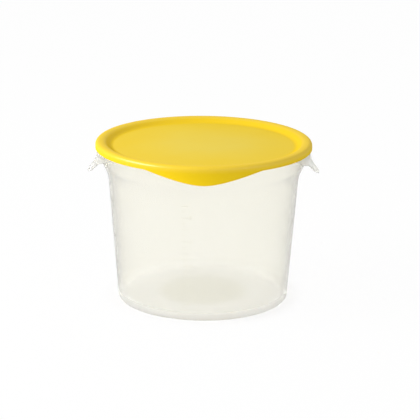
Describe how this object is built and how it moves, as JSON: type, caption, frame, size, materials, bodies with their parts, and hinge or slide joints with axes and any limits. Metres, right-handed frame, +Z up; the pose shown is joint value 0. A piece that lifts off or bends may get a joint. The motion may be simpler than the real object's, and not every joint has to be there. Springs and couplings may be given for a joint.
{
  "type": "food storage container",
  "caption": "Round tapered food storage tub with flared side handles and a press-fit lid that has V-shaped lift tabs.",
  "frame": {"origin": "on the floor, at the middle of the bounding box's underside, which is the tub's centre line", "axes": "+Z up along the tub's centre line, +X through the middle of the right handle, -Y the front with a lift tab"},
  "size_m": [0.3334, 0.3178, 0.2314],
  "materials": {
    "milky_tub": "satin milky translucent",
    "yellow_lid": "satin yellow"
  },
  "bodies": {
    "tub": {"container": "milky_tub"},
    "lid": {"lid": "yellow_lid"}
  },
  "joints": [
    {"name": "lid_lift", "type": "slide", "parent": "tub", "child": "lid", "axis": [0, 0, 1], "range_m": [0, 0.08]}
  ]
}
